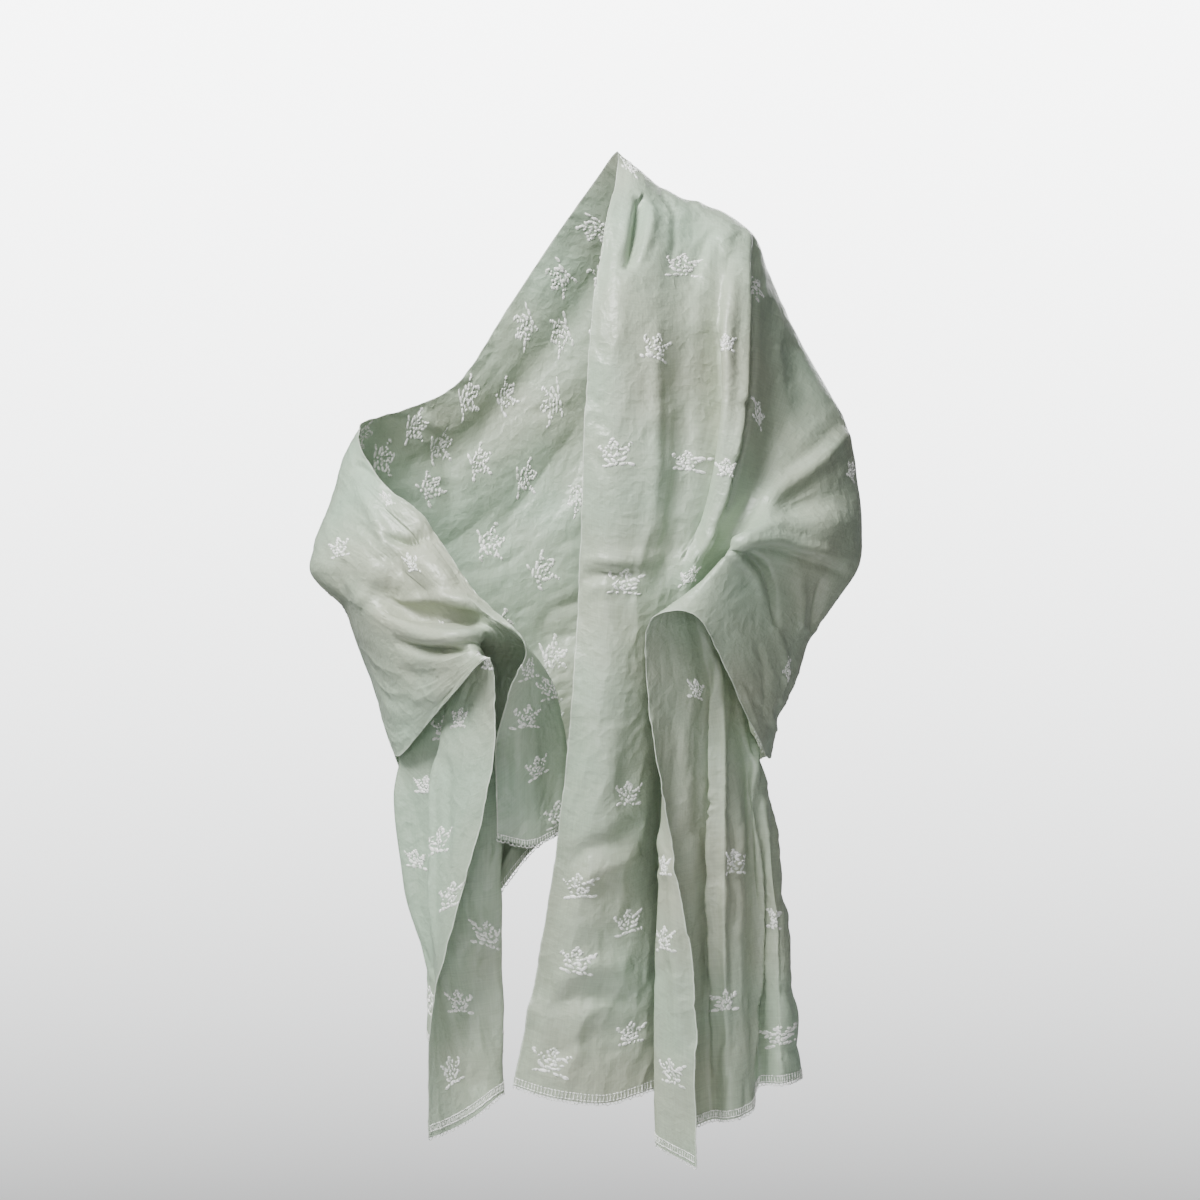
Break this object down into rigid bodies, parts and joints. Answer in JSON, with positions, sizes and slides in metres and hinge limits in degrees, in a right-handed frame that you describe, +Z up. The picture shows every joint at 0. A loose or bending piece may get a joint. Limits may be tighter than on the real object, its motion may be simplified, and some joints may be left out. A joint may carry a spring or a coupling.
{
  "type": "draped silk shawl",
  "caption": "Long pale green silk shawl with ivory sprig embroidery, hollow, as worn over one shoulder and both forearms.",
  "frame": {"origin": "the point on the wearer's left shoulder that the shawl hangs from, just under the cloth", "axes": "+Z up, -Y towards the wearer's front, +X towards the wearer's left; the shawl is tallest along Z and shallowest along Y"},
  "size_m": [0.6084, 0.3745, 1.093],
  "materials": {
    "celadon_silk": "soft satin sheen",
    "ivory_thread": "satin stitch"
  },
  "bodies": {
    "root": {"back_drape": "celadon_silk", "front_fall": "celadon_silk", "left_front_edge": "celadon_silk", "left_hem_band": "ivory_thread", "left_pleats": "celadon_silk", "left_sleeve": "celadon_silk", "right_back_tail": "celadon_silk", "right_front_tail": "celadon_silk", "right_hem_band": "ivory_thread", "right_inner_tail": "celadon_silk", "right_sleeve": "celadon_silk"}
  },
  "joints": []
}
